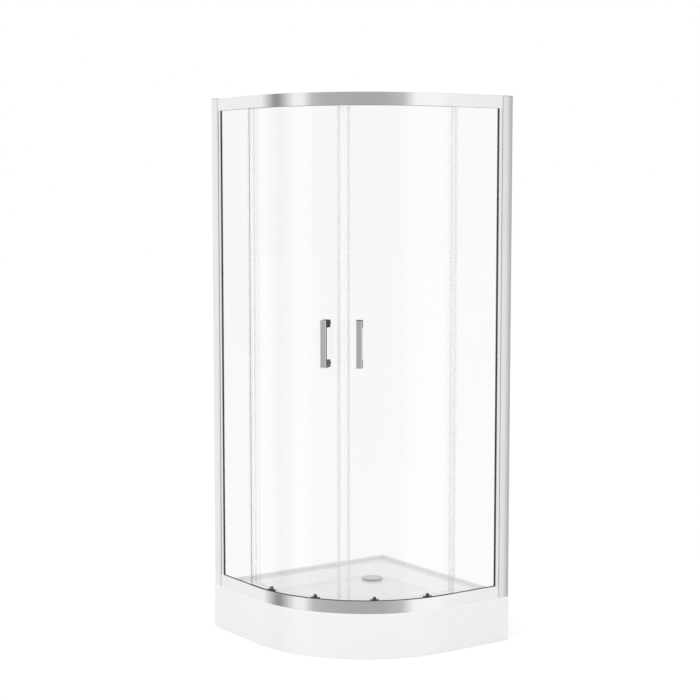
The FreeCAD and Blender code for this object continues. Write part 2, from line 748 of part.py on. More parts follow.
def fixed_glass():
    """Flat pane from the side profile to just short of the rounded corner."""
    start = SIDE_PROFILE_START + SIDE_PROFILE_T + GLASS_START_GAP
    top = LEDGE_Z - RAIL_T - FIXED_TOP_GAP
    return straight(FIXED_OUT, FIXED_IN, start, FIXED_GLASS_END, TRAY_H + SLOT_FLOOR_H, top)


def slot_gaskets():
    """Rubber beside the fixed panes in both rails, and the filler round the corner.

    Past the side profiles it stands a little out of the slot, as a lip.
    """
    lip_start = SIDE_PROFILE_END + GASKET_W
    end = FIXED_GLASS_END
    low = RAIL_TOP_OF_BOTTOM - SLOT_FILLER_H
    high = RAIL_TOP_OF_BOTTOM - SLOT_FILLER_DROP
    lip_high = RAIL_TOP_OF_BOTTOM + SLOT_LIP
    top_low = RAIL_BOTTOM_OF_TOP
    top_high = RAIL_BOTTOM_OF_TOP + SLOT_FILLER_H
    lip_low = RAIL_BOTTOM_OF_TOP - TOP_SLOT_LIP
    pane = [
        fuse([straight(outer, inner, RAIL_START, end, low, high),
              straight(outer, inner, lip_start, end, low, lip_high)])
        for outer, inner in ((FASCIA_IN, FIXED_OUT), (FIXED_IN, SLOT_IN))
    ]
    pane.append(fuse([straight(FASCIA_IN, FIXED_OUT, RAIL_START, end, top_low, top_high),
                      straight(FASCIA_IN, FIXED_OUT, lip_start, end, lip_low, top_high)]))
    filler = band(FASCIA_IN, SLOT_IN, low, lip_high, end)
    top_filler = band(FASCIA_IN, SLOT_IN, lip_low, top_high, end)
    return with_twins(pane) + [filler, top_filler]


def rail_end_seals():
    """Rubber strip between the face of each rail's end and the wall profile."""
    outer = FACE_INSET + WALL_PROFILE_EDGE_R / 2
    strips = [straight(outer, FASCIA_IN, WALL_PROFILE_W, RAIL_START, low, low + RAIL_H)
              for low in (TRAY_H, RAIL_BOTTOM_OF_TOP)]
    return with_twins(strips)


# --- profiles on the walls ---

def wall_hole_heights():
    span = ENCLOSURE_H - 2 * WALL_HOLE_END
    step = span / (WALL_HOLE_COUNT - 1)
    return [TRAY_H + WALL_HOLE_END + step * i for i in range(WALL_HOLE_COUNT)]


def crowned_block(z_low, z_high):
    """Block as wide and deep as the wall profile, with its outer face bowed outwards."""
    face = HALF - FACE_INSET
    inner = HALF - PROFILE_IN
    front = HALF - WALL_PROFILE_W
    edges = [
        arc(vec(face, front), vec(face + PROFILE_CROWN, (front + HALF) / 2), vec(face, HALF)),
        line(vec(face, HALF), vec(inner, HALF)),
        line(vec(inner, HALF), vec(inner, front)),
        line(vec(inner, front), vec(face, front)),
    ]
    return prism(edges, z_low, z_high)


def wall_profile():
    """U profile screwed to the wall, open towards the glass."""
    top = TOP_Z - CAP_T
    outer = crowned_block(TRAY_H, top)
    groove = straight(FACE_INSET + WALL_PROFILE_T, PROFILE_IN - WALL_PROFILE_T, WALL_PROFILE_T,
                      WALL_PROFILE_W + OVER, TRAY_H - OVER, top + OVER)
    body = outer.cut(groove)
    face_x = HALF - FACE_INSET
    front_y = HALF - WALL_PROFILE_W
    body = rounded(body, WALL_PROFILE_EDGE_R, lambda e: e.BoundBox.ZLength > RAIL_H
                   and abs(e.BoundBox.XMin - face_x) < 0.01 and abs(e.BoundBox.YMin - front_y) < 0.01)
    middle = HALF - (FACE_INSET + PROFILE_IN) / 2
    holes = [Part.makeCylinder(WALL_HOLE_R, WALL_PROFILE_T + 2 * OVER,
                               vec(middle, HALF - WALL_PROFILE_T - OVER, z), vec(0, 1, 0))
             for z in wall_hole_heights()]
    for rail_low in (TRAY_H, RAIL_BOTTOM_OF_TOP):
        z, (along, _) = rail_screw_at(rail_low)
        holes.append(screw_rod(SCREW_R, PROFILE_IN - WALL_PROFILE_T, PROFILE_IN, along, z))
    return cut(body, holes)


def wall_profile_cap():
    """Plastic cap on the profile's top end, with a plug in its groove."""
    plate = crowned_block(TOP_Z - CAP_T, TOP_Z)
    clear = WALL_PROFILE_T + CAP_PLUG_CLEAR
    plug = straight(FACE_INSET + clear, PROFILE_IN - clear, WALL_PROFILE_T,
                    WALL_PROFILE_T + BLOCK_WALL_GAP / 2 - CAP_PLUG_CLEAR,
                    TOP_Z - CAP_T - CAP_PLUG_H, TOP_Z - CAP_T)
    return fuse([plate, plug])


def side_profile():
    """Inner profile that slides in the wall profile and grips the fixed pane."""
    low, high = RAIL_TOP_OF_BOTTOM, RAIL_BOTTOM_OF_TOP
    start, end = SIDE_PROFILE_START, SIDE_PROFILE_END
    outer = FACE_INSET + WALL_PROFILE_T
    inner = PROFILE_IN - WALL_PROFILE_T
    return fuse([
        straight(outer, inner, start, start + SIDE_PROFILE_T, low, high),
        straight(outer, outer + SIDE_PROFILE_T, start, end, low, high),
        straight(SLOT_IN, SLOT_IN + SIDE_PROFILE_T, start, end, low, high),
        straight(inner - SIDE_PROFILE_T, inner, start, WALL_PROFILE_W, low, high),
    ])


def side_gaskets():
    """Rubber lips between the side profile and both faces of the fixed pane."""
    low, high = RAIL_TOP_OF_BOTTOM, RAIL_BOTTOM_OF_TOP
    end = SIDE_PROFILE_END
    outer = FACE_INSET + WALL_PROFILE_T
    outside = fuse([
        straight(outer + SIDE_PROFILE_T, FIXED_OUT, end - GASKET_GRIP, end, low, high),
        straight(outer, FIXED_OUT, end, end + GASKET_W, low, high),
    ])
    inside = fuse([
        straight(FIXED_IN, SLOT_IN, end - GASKET_GRIP, end, low, high),
        straight(FIXED_IN, SLOT_IN + SIDE_PROFILE_T, end, end + GASKET_W, low, high),
    ])
    return with_twins([outside, inside])


# --- seals ---

def fixed_edge_seal():
    """Clear clip on the fixed pane's free edge, with a fin towards the door."""
    end = FIXED_GLASS_END
    low, high = CLEAR_LOW_Z, CLEAR_TOP_Z
    back = end + SEAL_T
    return fuse([
        straight(FIXED_OUT - SEAL_T, FIXED_OUT, end - SEAL_CLIP, end, low, high),
        straight(FIXED_IN, FIXED_IN + SEAL_T, end - SEAL_CLIP, end, low, high),
        straight(FIXED_OUT - SEAL_T, FIXED_IN + SEAL_T, end, back, low, high),
        straight(FIXED_IN + SEAL_T, FIXED_FIN_OFFSET, back - SEAL_FIN_T, back, low, high),
    ])


def door_clip(edge_angle, direction, low, high):
    """U clip on a vertical edge of the curved door: two legs and a back."""
    clip = swept_angle(SEAL_CLIP, DOOR_MID_R) * direction
    back = swept_angle(SEAL_T, DOOR_MID_R) * direction
    leg_out = DOOR_OUT_R + SEAL_GRIP_CLEAR
    leg_in = DOOR_IN_R - SEAL_GRIP_CLEAR
    spans = [
        (leg_out, leg_out + SEAL_T, edge_angle - clip, edge_angle),
        (leg_in - SEAL_T, leg_in, edge_angle - clip, edge_angle),
        (leg_in - SEAL_T, leg_out + SEAL_T, edge_angle, edge_angle + back),
    ]
    return [sector(r_in, r_out, min(a, b), max(a, b), low, high) for r_in, r_out, a, b in spans]


def lead_edge_angle():
    return swept_angle(MEET_GAP / 2 + MAGNET_NOSE, DOOR_MID_R)


def magnet_seal():
    """Clip and hollow magnet nose on the edge where the two doors meet."""
    low, high = CLEAR_LOW_Z, CLEAR_TOP_Z
    edge = lead_edge_angle()
    nose_from = swept_angle(MEET_GAP / 2, DOOR_MID_R)
    half = MAGNET_W / 2
    hollow_from = nose_from + swept_angle(SEAL_T, DOOR_MID_R)
    hollow_to = edge - swept_angle(2 * SEAL_T, DOOR_MID_R)
    nose = sector(DOOR_MID_R - half, DOOR_MID_R + half, nose_from, edge, low, high)
    hollow = sector(DOOR_MID_R - half + SEAL_T, DOOR_MID_R + half - SEAL_T, hollow_from, hollow_to,
                    low - OVER, high + OVER)
    return fuse([nose.cut(hollow)] + door_clip(edge, -1, low, high))


def trailing_seal():
    """Clip on the door's wall-side edge, with a fin that hooks behind the fixed one."""
    low, high = CLEAR_LOW_Z, CLEAR_TOP_Z
    edge = DOOR_TRAIL_ANGLE
    fin_to = edge + swept_angle(SEAL_T, DOOR_MID_R)
    fin_from = fin_to - swept_angle(SEAL_FIN_T, DOOR_MID_R)
    fin = sector(DOOR_OUT_R, CORNER_R - TRAIL_FIN_OFFSET, fin_from, fin_to, low, high)
    return fuse(door_clip(edge, 1, low, high) + [fin])


# --- doors ---

def housing_screw_places():
    z = (FORK_TOP_Z + RELEASE_TRAVEL + HOUSING_TOP_Z) / 2
    return [(angle, side * HOUSING_SCREW_AT, z)
            for angle in (ROLLER_LEAD_ANGLE, ROLLER_TRAIL_ANGLE) for side in (-1, 1)]


def door_glass():
    """Curved pane with its holes for handle, rollers and lower housings."""
    pane = sector(DOOR_IN_R, DOOR_OUT_R, lead_edge_angle(), DOOR_TRAIL_ANGLE, DOOR_LOW_Z, DOOR_TOP_Z)
    inside, outside = DOOR_IN_R - OVER, DOOR_OUT_R + OVER
    holes = [radial_rod(HANDLE_SLEEVE_R, inside, outside, z, HANDLE_ANGLE) for z in BOLT_Z]
    for angle in (ROLLER_LEAD_ANGLE, ROLLER_TRAIL_ANGLE):
        holes.append(radial_rod(BUSH_R, inside, outside, UPPER_AXLE_Z, angle))
    for angle, sideways, z in housing_screw_places():
        holes.append(radial_rod(HOUSING_SCREW_R, inside, outside, z, angle, sideways))
    return cut(pane, holes)


def handle():
    """Square-section pull with a post at each end, on the outside of the door."""
    bar = local_box(HANDLE_BACK_R, HANDLE_FACE_R, HANDLE_W, HANDLE_LOW_Z, HANDLE_TOP_Z)
    foot_r = DOOR_OUT_R + WASHER_T
    low_post = local_box(foot_r, HANDLE_BACK_R, HANDLE_W, HANDLE_LOW_Z, HANDLE_LOW_Z + HANDLE_POST_H)
    top_post = local_box(foot_r, HANDLE_BACK_R, HANDLE_W, HANDLE_TOP_Z - HANDLE_POST_H, HANDLE_TOP_Z)
    body = fuse([bar, low_post, top_post])
    body = rounded(body, HANDLE_EDGE_R, lambda e: abs(e.BoundBox.XMin - HANDLE_FACE_R) < 0.01)
    grip = at_angle(body, HANDLE_ANGLE)
    bores = [radial_rod(HANDLE_BOLT_R, foot_r, foot_r + BOLT_IN_POST, z, HANDLE_ANGLE) for z in BOLT_Z]
    return cut(grip, bores)


def handle_bolts():
    """From inside: capped bolts with a soft sleeve in the glass and a washer outside."""
    bolts = []
    for z in BOLT_Z:
        cap_low = DOOR_IN_R - WASHER_T - HANDLE_CAP_T
        cap = radial_rod(HANDLE_CAP_R, cap_low, DOOR_IN_R - WASHER_T, z, HANDLE_ANGLE)
        tip = DOOR_OUT_R + WASHER_T + BOLT_IN_POST
        shank = radial_rod(HANDLE_BOLT_R, DOOR_IN_R - WASHER_T, tip, z, HANDLE_ANGLE)
        bolts.append(fuse([cap, shank]))
    return bolts


def handle_washers():
    washers = []
    for z in BOLT_Z:
        inner = inside_pane(radial_rod(HANDLE_CAP_R, DOOR_IN_R - WASHER_T, DOOR_IN_R, z, HANDLE_ANGLE))
        sleeve = radial_rod(HANDLE_SLEEVE_R, DOOR_IN_R, DOOR_OUT_R, z, HANDLE_ANGLE)
        outer = radial_rod(HANDLE_CAP_R, DOOR_OUT_R, DOOR_OUT_R + WASHER_T, z, HANDLE_ANGLE)
        bore = radial_rod(HANDLE_BOLT_R, DOOR_IN_R - WASHER_T - OVER, DOOR_OUT_R + WASHER_T + OVER, z,
                          HANDLE_ANGLE)
        washers.append(fuse([inner, sleeve, outer]).cut(bore))
    return washers


# --- upper rollers ---

def wheel_face_radii():
    middle = CORNER_R - UPPER_WHEEL_OFFSET
    return middle - UPPER_WHEEL_W / 2, middle + UPPER_WHEEL_W / 2


def upper_axles():
    """Bolt through the glass: cap inside, shoulder outside, axle end with its head."""
    wheel_in, wheel_out = wheel_face_radii()
    axles = []
    for angle in (ROLLER_LEAD_ANGLE, ROLLER_TRAIL_ANGLE):
        z = UPPER_AXLE_Z
        cap_out = DOOR_IN_R - BUSH_FLANGE_T
        cap = radial_rod(ROLLER_CAP_R, cap_out - ROLLER_CAP_T, cap_out, z, angle)
        shank = radial_rod(AXLE_R, cap_out, wheel_out + WHEEL_SIDE_CLEAR, z, angle)
        shoulder_from = DOOR_OUT_R + BUSH_FLANGE_T
        shoulder = radial_rod(AXLE_SHOULDER_R, shoulder_from, wheel_in - WHEEL_SIDE_CLEAR, z, angle)
        head_from = wheel_out + WHEEL_SIDE_CLEAR
        head = radial_rod(AXLE_HEAD_R, head_from, head_from + AXLE_HEAD_T, z, angle)
        axles.append(fuse([cap, shank, shoulder, head]))
    return axles


def upper_bushes():
    """Plastic bush in each roller hole, with a flange on both faces of the glass."""
    bushes = []
    for angle in (ROLLER_LEAD_ANGLE, ROLLER_TRAIL_ANGLE):
        z = UPPER_AXLE_Z
        body = radial_rod(BUSH_R, DOOR_IN_R, DOOR_OUT_R, z, angle)
        inner = inside_pane(radial_rod(BUSH_FLANGE_R, DOOR_IN_R - BUSH_FLANGE_T, DOOR_IN_R, z, angle))
        outer = radial_rod(BUSH_FLANGE_R, DOOR_OUT_R, DOOR_OUT_R + BUSH_FLANGE_T, z, angle)
        bore = radial_rod(AXLE_R, DOOR_IN_R - BUSH_FLANGE_T - OVER, DOOR_OUT_R + BUSH_FLANGE_T + OVER,
                          z, angle)
        bushes.append(fuse([body, inner, outer]).cut(bore))
    return bushes


def upper_wheel(angle):
    wheel_in, wheel_out = wheel_face_radii()
    rim = radial_rod(UPPER_WHEEL_R, wheel_in, wheel_out, UPPER_AXLE_Z, angle)
    bore = radial_rod(AXLE_R + RUNNING_CLEAR, wheel_in - OVER, wheel_out + OVER, UPPER_AXLE_Z, angle)
    return rim.cut(bore)


# --- lower rollers ---

def lower_housing(angle):
    """Housing on the inner face of the glass, with pockets for fork, wheel and spring."""
    r_from = DOOR_IN_R - HOUSING_D
    block = local_box(r_from, DOOR_IN_R, HOUSING_W, HOUSING_LOW_Z, HOUSING_TOP_Z)
    block = rounded(block, HOUSING_EDGE_R, lambda e: abs(e.BoundBox.XMax - r_from) < 0.01)
    half = FORK_D / 2 + POCKET_CLEAR
    fork_top = FORK_TOP_Z + RELEASE_TRAVEL + POCKET_CLEAR
    fork_pocket = local_box(STEM_RADIUS_AT - half, STEM_RADIUS_AT + half, FORK_W + 2 * POCKET_CLEAR,
                            HOUSING_LOW_Z - OVER, fork_top)
    wheel_half = LOWER_WHEEL_W / 2 + POCKET_CLEAR
    wheel_top = LOWER_AXLE_Z + LOWER_WHEEL_R + RELEASE_TRAVEL + POCKET_CLEAR
    wheel_pocket = local_box(STEM_RADIUS_AT - wheel_half, STEM_RADIUS_AT + wheel_half,
                             2 * (LOWER_WHEEL_R + POCKET_CLEAR), HOUSING_LOW_Z - OVER, wheel_top)
    spring_room = Part.makeCylinder(SPRING_R + POCKET_CLEAR, HOUSING_TOP_Z - HOUSING_ROOF - fork_top,
                                    vec(STEM_RADIUS_AT, 0, fork_top))
    stem_hole = Part.makeCylinder(STEM_R + STEM_CLEAR, HOUSING_H, vec(STEM_RADIUS_AT, 0, fork_top))
    body = at_angle(cut(block, [fork_pocket, wheel_pocket, spring_room, stem_hole]), angle)
    screws = [radial_rod(HOUSING_SCREW_R, DOOR_IN_R - HOUSING_SCREW_BITE, DOOR_IN_R, z, at, side)
              for at, side, z in housing_screw_places() if at == angle]
    return cut(inside_pane(body), screws)


def housing_screws():
    screws = []
    for angle, sideways, z in housing_screw_places():
        tip = DOOR_IN_R - HOUSING_SCREW_BITE
        shank = radial_rod(HOUSING_SCREW_R, tip, DOOR_OUT_R, z, angle, sideways)
        head = radial_rod(HOUSING_SCREW_HEAD_R, DOOR_OUT_R, DOOR_OUT_R + HOUSING_SCREW_HEAD_T, z,
                          angle, sideways)
        screws.append(fuse([shank, head]))
    return screws


def release_plunger(angle):
    """Knob, stem and fork in one piece, with the pin that carries the lower wheel."""
    half = FORK_D / 2
    gap_half = LOWER_WHEEL_W / 2 + FORK_SIDE_CLEAR
    fork_low = LOWER_AXLE_Z - PIN_R - FORK_CHEEK / 2
    fork = local_box(STEM_RADIUS_AT - half, STEM_RADIUS_AT + half, FORK_W, fork_low, FORK_TOP_Z)
    slot_top = FORK_TOP_Z - FORK_CHEEK
    slot = local_box(STEM_RADIUS_AT - gap_half, STEM_RADIUS_AT + gap_half, FORK_W + 2 * OVER,
                     fork_low - OVER, slot_top)
    knob_low = HOUSING_TOP_Z + KNOB_GAP
    stem = Part.makeCylinder(STEM_R, knob_low - FORK_TOP_Z, vec(STEM_RADIUS_AT, 0, FORK_TOP_Z))
    knob = Part.makeCylinder(KNOB_R, KNOB_H, vec(STEM_RADIUS_AT, 0, knob_low))
    knob = rounded(knob, KNOB_EDGE_R, lambda e: abs(e.BoundBox.ZMin - knob_low - KNOB_H) < 0.01)
    pin = Part.makeCylinder(PIN_R, FORK_D, vec(STEM_RADIUS_AT - half, 0, LOWER_AXLE_Z), vec(1, 0, 0))
    body = fuse([fork.cut(slot), stem, knob]).cut(pin)
    return [at_angle(body, angle), at_angle(pin, angle)]


def release_spring(angle):
    """Return spring round the stem, as the plain sleeve of its outer and inner size."""
    low = FORK_TOP_Z + SPRING_END_GAP
    high = HOUSING_TOP_Z - HOUSING_ROOF - SPRING_END_GAP
    outer = Part.makeCylinder(SPRING_R, high - low, vec(STEM_RADIUS_AT, 0, low))
    inner = Part.makeCylinder(SPRING_R - SPRING_T, high - low, vec(STEM_RADIUS_AT, 0, low))
    return at_angle(outer.cut(inner), angle)


def lower_wheel(angle):
    half = LOWER_WHEEL_W / 2
    r_from, r_to = STEM_RADIUS_AT - half, STEM_RADIUS_AT + half
    rim = radial_rod(LOWER_WHEEL_R, r_from, r_to, LOWER_AXLE_Z, angle)
    bore = radial_rod(PIN_R + RUNNING_CLEAR, r_from - OVER, r_to + OVER, LOWER_AXLE_Z, angle)
    return rim.cut(bore)


# --- door travel ---

def door_pivot():
    """Point that the door swings about, which keeps both rollers on the rail."""
    middle = (ROLLER_LEAD_ANGLE + ROLLER_TRAIL_ANGLE) / 2 + PIVOT_TURN_ANGLE
    return polar(-PIVOT_SHIFT, middle)


def stop_span():
    """Distances of the stop's two ends from the wall, beyond the rail's end block."""
    near = WALL_PROFILE_W + BLOCK_IN_RAIL + STOP_PAST_BLOCK
    return near, near + STOP_L


def door_stops():
    """Rubber stops on the ledge, where the wall-side wheel ends its run."""
    near, far = stop_span()
    stop = straight(FASCIA_IN + BLOCK_CLEAR, LEDGE_OFFSET, near, far, LEDGE_Z, LEDGE_Z + STOP_H)
    return with_twins([stop])


def door_swing():
    """Angle that the door turns through until its wall-side wheel is at the stop."""
    arm = polar(CORNER_R - UPPER_WHEEL_OFFSET, ROLLER_TRAIL_ANGLE) - door_pivot()
    end_y = HALF - stop_span()[1] - STOP_GAP - UPPER_WHEEL_R - door_pivot().y
    return math.degrees(math.asin(end_y / arm.Length) - math.atan2(arm.y, arm.x))


# --- write every sub-part ---

os.makedirs("parts", exist_ok=True)

save("tray_shell", [tray_shell()] + tile_lips())
save("tray_support_frame", [tray_support_frame()])
save("foot_studs_and_nuts", foot_studs() + foot_nuts())
save("foot_pads", foot_pads())
save("waste_body", [waste_body()])
save("waste_flange", [waste_flange()])
save("waste_gasket", [waste_ring(WASTE_SLEEVE_R + WASTE_GASKET_ROOM, WASTE_CUP_R,
                                  UNDER_Z - WASTE_GASKET_T, UNDER_Z)])
save("waste_trap_insert", [waste_trap_insert()])
save("waste_cover", [waste_cover()])
save("top_rail", [top_rail()])
save("bottom_rail", [bottom_rail()])
save("rail_end_blocks", rail_end_blocks())
save("rail_screws", rail_screws())
save("glass_gaskets", slot_gaskets() + side_gaskets() + rail_end_seals())
save("wall_profile_caps", with_twins([wall_profile_cap()]))
save("door_stops", door_stops())

for side, turn_over in (("right", lambda shape: shape), ("left", mirrored)):
    singles = {
        "wall_profile_": wall_profile(),
        "side_profile_": side_profile(),
        "fixed_glass_": fixed_glass(),
        "fixed_edge_seal_": fixed_edge_seal(),
        "door_glass_": door_glass(),
        "magnet_seal_": magnet_seal(),
        "trailing_seal_": trailing_seal(),
        "handle_": handle(),
    }
    for name, shape in singles.items():
        save(name + side, [turn_over(shape)])
    groups = {
        "handle_bolts_": handle_bolts(),
        "handle_washers_": handle_washers(),
        "upper_axles_": upper_axles(),
        "upper_bushes_": upper_bushes(),
        "lower_housings_": [lower_housing(ROLLER_LEAD_ANGLE), lower_housing(ROLLER_TRAIL_ANGLE)],
        "housing_screws_": housing_screws(),
    }
    for name, shapes in groups.items():
        save(name + side, [turn_over(shape) for shape in shapes])
    for place, angle in (("lead", ROLLER_LEAD_ANGLE), ("trail", ROLLER_TRAIL_ANGLE)):
        ending = "_" + side + "_" + place
        save("upper_wheel" + ending, [turn_over(upper_wheel(angle))])
        save("lower_wheel" + ending, [turn_over(lower_wheel(angle))])
        save("release_plunger" + ending, [turn_over(s) for s in release_plunger(angle)])
        save("release_spring" + ending, [turn_over(release_spring(angle))])

pivot = door_pivot()
print("door pivot right", round(pivot.x, 3), round(pivot.y, 3), "swing", round(door_swing(), 3))
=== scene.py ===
import bmesh
import bpy
import math
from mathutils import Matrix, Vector


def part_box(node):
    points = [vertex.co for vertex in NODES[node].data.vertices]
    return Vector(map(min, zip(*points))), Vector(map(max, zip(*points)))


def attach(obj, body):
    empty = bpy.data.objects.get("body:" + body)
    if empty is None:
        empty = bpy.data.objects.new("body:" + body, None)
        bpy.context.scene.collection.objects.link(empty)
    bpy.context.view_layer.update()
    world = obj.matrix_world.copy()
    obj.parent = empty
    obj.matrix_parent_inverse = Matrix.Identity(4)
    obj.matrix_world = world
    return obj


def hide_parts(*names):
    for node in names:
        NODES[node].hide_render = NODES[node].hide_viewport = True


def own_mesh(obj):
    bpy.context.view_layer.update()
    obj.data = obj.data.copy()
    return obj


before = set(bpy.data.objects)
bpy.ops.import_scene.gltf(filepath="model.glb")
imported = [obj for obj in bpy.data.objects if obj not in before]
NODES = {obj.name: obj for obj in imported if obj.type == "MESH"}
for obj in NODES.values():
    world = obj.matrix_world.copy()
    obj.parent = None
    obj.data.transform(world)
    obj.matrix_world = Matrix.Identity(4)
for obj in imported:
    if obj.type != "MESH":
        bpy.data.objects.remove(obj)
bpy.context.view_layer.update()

# Quadrant shower enclosure. Metres, origin on the floor at the middle of the footprint.
# The rails follow a rounded corner about CORNER_CENTRE; the doors meet where they run along
# MEETING_TANGENT.
CORNER_CENTRE = Vector((-0.100, 0.100, 0.0))
MEETING_TANGENT = (math.sqrt(0.5), math.sqrt(0.5), 0.0)
SIDES = ("right", "left")
PLACES = ("lead", "trail")

# Camera: where it stands, where it looks (degrees) and how long its lens is.
CAMERA_AT = Vector((4.9593, -3.5049, 1.6702))
CAMERA_AZIMUTH, CAMERA_PITCH = 55.084, 5.555
SENSOR_MM = 36.0
FOCAL_PIXELS, PICTURE_PIXELS = 1630.6, 700

scene = bpy.context.scene
scene.view_settings.view_transform = "Standard"


# --- camera, at the photograph's viewing angle ---

def place_camera():
    """Studio view of the round side, from a little above the handles, pitched slightly down."""
    azimuth, pitch = math.radians(CAMERA_AZIMUTH), math.radians(CAMERA_PITCH)
    forward = Vector((-math.sin(azimuth) * math.cos(pitch),
                      math.cos(azimuth) * math.cos(pitch), -math.sin(pitch)))
    data = bpy.data.cameras.new("photo_camera")
    data.sensor_width = SENSOR_MM
    data.lens = FOCAL_PIXELS / PICTURE_PIXELS * SENSOR_MM
    camera = bpy.data.objects.new("photo_camera", data)
    camera.location = CAMERA_AT
    camera.rotation_mode = "QUATERNION"
    camera.rotation_quaternion = forward.to_track_quat("-Z", "Y")
    scene.collection.objects.link(camera)
    scene.camera = camera


# --- small helpers for node trees ---

class Tree:
    """Short way to add nodes and join them."""

    def __init__(self, node_tree):
        self.nodes = node_tree.nodes
        self.links = node_tree.links

    def add(self, kind, values=None, **settings):
        node = self.nodes.new(kind)
        for name, value in settings.items():
            setattr(node, name, value)
        for name, value in (values or {}).items():
            self.feed(value, node.inputs[name])
        return node

    def feed(self, value, socket):
        if isinstance(value, bpy.types.NodeSocket):
            self.links.new(value, socket)
        else:
            socket.default_value = value

    def math(self, operation, first, second=0.0, third=0.0, clamp=False):
        node = self.add("ShaderNodeMath", operation=operation, use_clamp=clamp)
        for socket, value in zip(node.inputs, (first, second, third)):
            self.feed(value, socket)
        return node.outputs[0]

    def mix(self, factor, first, second):
        node = self.add("ShaderNodeMix", data_type="RGBA")
        self.feed(factor, node.inputs[0])
        self.feed(first, node.inputs[6])
        self.feed(second, node.inputs[7])
        return node.outputs[2]


def grey(value, warm=0.0):
    return (value * (1 + warm), value, value * (1 - warm), 1.0)


# --- effects shared by several finishes ---

def group(name, inputs, outputs, build):
    tree = bpy.data.node_groups.new(name, "ShaderNodeTree")
    for label, kind, value in inputs:
        socket = tree.interface.new_socket(label, in_out="INPUT", socket_type=kind)
        socket.default_value = value
    for label, kind in outputs:
        tree.interface.new_socket(label, in_out="OUTPUT", socket_type=kind)
    helper = Tree(tree)
    source = helper.add("NodeGroupInput")
    sink = helper.add("NodeGroupOutput")
    build(helper, source.outputs, sink.inputs)
    return tree


def build_polish_haze(t, given, put):
    """Roughness that drifts over the surface, with finer rubbed spots."""
    place = t.add("ShaderNodeTexCoord").outputs["Object"]
    wide = t.add("ShaderNodeTexNoise", {"Vector": place, "Scale": given["Scale"], "Detail": 3.0})
    fine_scale = t.math("MULTIPLY", given["Scale"], 9.0)
    fine = t.add("ShaderNodeTexNoise", {"Vector": place, "Scale": fine_scale, "Detail": 2.0})
    both = t.math("ADD", t.math("MULTIPLY", wide.outputs["Fac"], 0.65),
                  t.math("MULTIPLY", fine.outputs["Fac"], 0.35))
    drift = t.math("MULTIPLY", t.math("SUBTRACT", both, 0.5), given["Spread"])
    t.feed(t.math("ADD", given["Roughness"], drift, clamp=True), put["Roughness"])


def build_skin(t, given, put):
    """Very low waves of a moulded or coated skin."""
    place = t.add("ShaderNodeTexCoord").outputs["Object"]
    noise = t.add("ShaderNodeTexNoise", {"Vector": place, "Scale": given["Scale"], "Detail": 2.0})
    bump = t.add("ShaderNodeBump", {"Height": noise.outputs["Fac"], "Strength": given["Strength"],
                                    "Distance": given["Depth"]})
    t.feed(bump.outputs["Normal"], put["Normal"])


def build_tone(t, given, put):
    """Colour that drifts between two close tones."""
    place = t.add("ShaderNodeTexCoord").outputs["Object"]
    noise = t.add("ShaderNodeTexNoise", {"Vector": place, "Scale": given["Scale"], "Detail": 4.0})
    factor = t.add("ShaderNodeMapRange", {"Value": noise.outputs["Fac"],
                                          "From Min": 0.3, "From Max": 0.7})
    t.feed(t.mix(factor.outputs["Result"], given["First"], given["Second"]), put["Color"])


def build_drawn_lines(t, given, put):
    """Fine die lines that run along an extrusion, level ones or upright ones."""
    place = t.add("ShaderNodeTexCoord").outputs["Object"]
    along = t.add("ShaderNodeVectorMath", {0: place, 1: given["Across"]}, operation="MULTIPLY")
    lines = t.add("ShaderNodeTexNoise", {"Vector": along.outputs[0], "Scale": 1.0, "Detail": 3.0})
    bump = t.add("ShaderNodeBump", {"Height": lines.outputs["Fac"], "Strength": given["Strength"],
                                    "Distance": 0.0002})
    spread = t.math("MULTIPLY", t.math("SUBTRACT", lines.outputs["Fac"], 0.5), given["Spread"])
    t.feed(bump.outputs["Normal"], put["Normal"])
    t.feed(t.math("ADD", given["Roughness"], spread, clamp=True), put["Roughness"])


FLOAT, COLOR, VECTOR = "NodeSocketFloat", "NodeSocketColor", "NodeSocketVector"
POLISH_HAZE = group(
    "polish_haze",
    [("Scale", FLOAT, 8.0), ("Roughness", FLOAT, 0.2), ("Spread", FLOAT, 0.1)],
    [("Roughness", FLOAT)], build_polish_haze)
SKIN = group(
    "skin_waves",
    [("Scale", FLOAT, 60.0), ("Strength", FLOAT, 0.1), ("Depth", FLOAT, 0.001)],
    [("Normal", VECTOR)], build_skin)
TONE = group(
    "tone_drift",
    [("Scale", FLOAT, 5.0), ("First", COLOR, grey(0.8)), ("Second", COLOR, grey(0.8))],
    [("Color", COLOR)], build_tone)
DRAWN_LINES = group(
    "drawn_lines",
    [("Across", VECTOR, (1.0, 1.0, 1.0)), ("Roughness", FLOAT, 0.1), ("Spread", FLOAT, 0.05),
     ("Strength", FLOAT, 0.05)],
    [("Normal", VECTOR), ("Roughness", FLOAT)], build_drawn_lines)

# Lines to the metre along each axis: many across the die's direction, few along it.
LEVEL_LINES = (2.0, 2.0, 900.0)
UPRIGHT_LINES = (900.0, 900.0, 1.0)


def finish_material(name, constants, build=None):
    """Material with one Principled shader; the builder joins its patterns."""
    material = bpy.data.materials.new(name)
    material.use_nodes = True
    t = Tree(material.node_tree)
    shader = t.nodes["Principled BSDF"]
    for label, value in constants.items():
        shader.inputs[label].default_value = value
    if build:
        build(t, shader)
    return material


def place_group(t, tree, values):
    node = t.add("ShaderNodeGroup", node_tree=tree)
    for label, value in values.items():
        t.feed(value, node.inputs[label])
    return node.outputs


